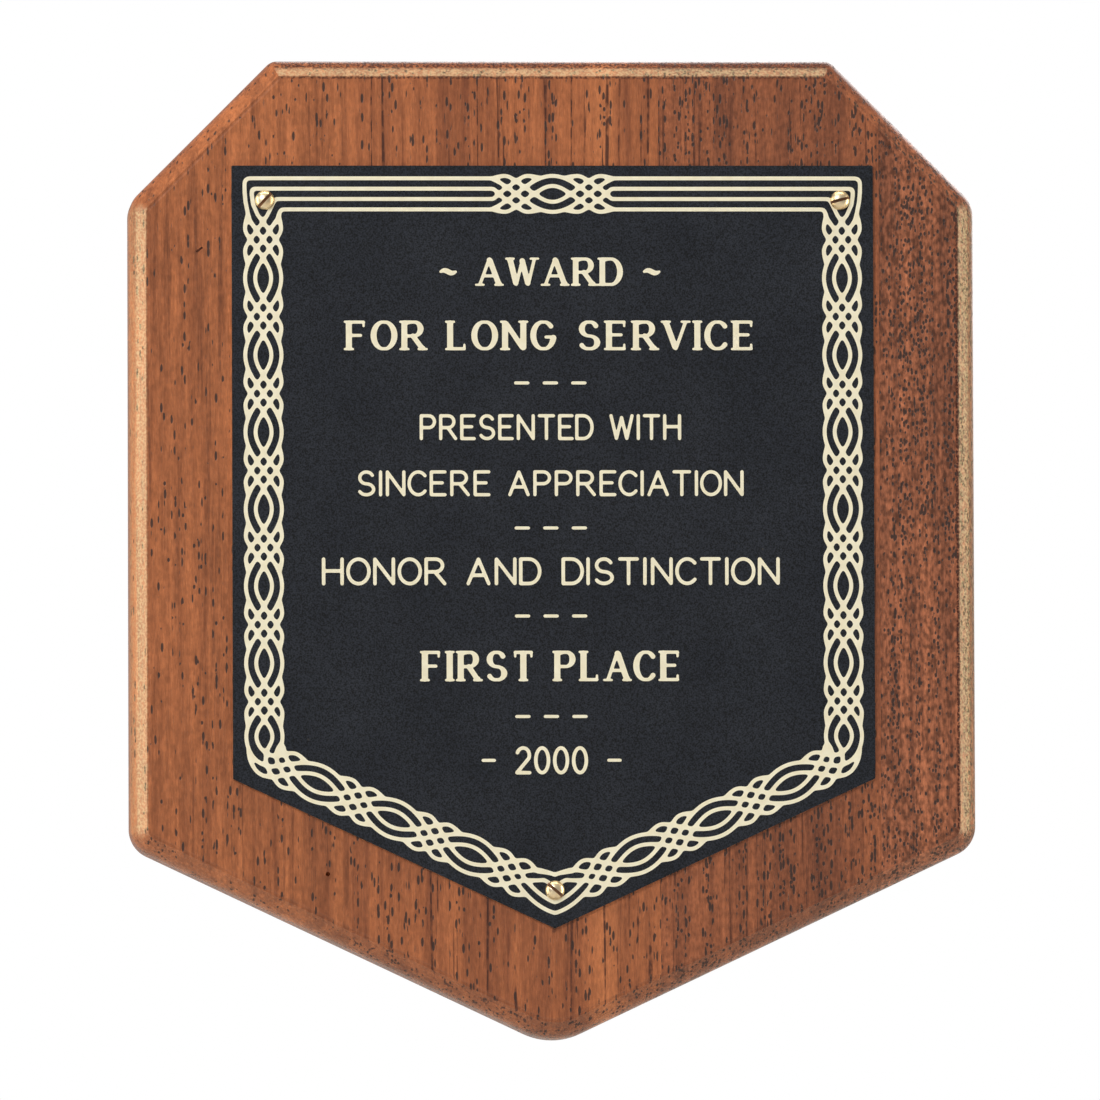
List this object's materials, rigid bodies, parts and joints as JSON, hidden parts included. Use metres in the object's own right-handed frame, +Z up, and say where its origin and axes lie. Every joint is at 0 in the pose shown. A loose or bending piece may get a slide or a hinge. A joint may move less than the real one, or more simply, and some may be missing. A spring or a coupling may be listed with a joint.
{
  "type": "wooden plaque",
  "caption": "Shield-shaped walnut presentation plaque with a black engraved brass plate held by small screws and a keyhole hanger let into the back.",
  "frame": {"origin": "middle of the flat back face, half way up between the sharp point and the top edge", "axes": "+Z up the plaque, +Y out of the back towards the wall, the engraved face looks along -Y, +X to the right as seen from the front"},
  "size_m": [0.1778, 0.0188, 0.2057],
  "materials": {
    "walnut": "satin clear lacquer over orange-brown walnut, grain upright",
    "adhesive": "pale pressure-sensitive adhesive sheet",
    "coated_brass": "matte black lacquer, cut through to bright pale gold in the border and the engraving",
    "brass": "bright turned brass",
    "zinc_plated_steel": "dull bright zinc plate"
  },
  "bodies": {
    "root": {"stave_left": "walnut", "stave_centre": "walnut", "stave_right": "walnut", "stave_edge": "walnut", "plate_adhesive": "adhesive", "engraved_plate": "coated_brass", "plate_screw_left": "brass", "plate_screw_right": "brass", "plate_screw_point": "brass", "hanger_plate": "zinc_plated_steel", "hanger_screw_upper": "zinc_plated_steel", "hanger_screw_lower": "zinc_plated_steel"}
  },
  "joints": []
}
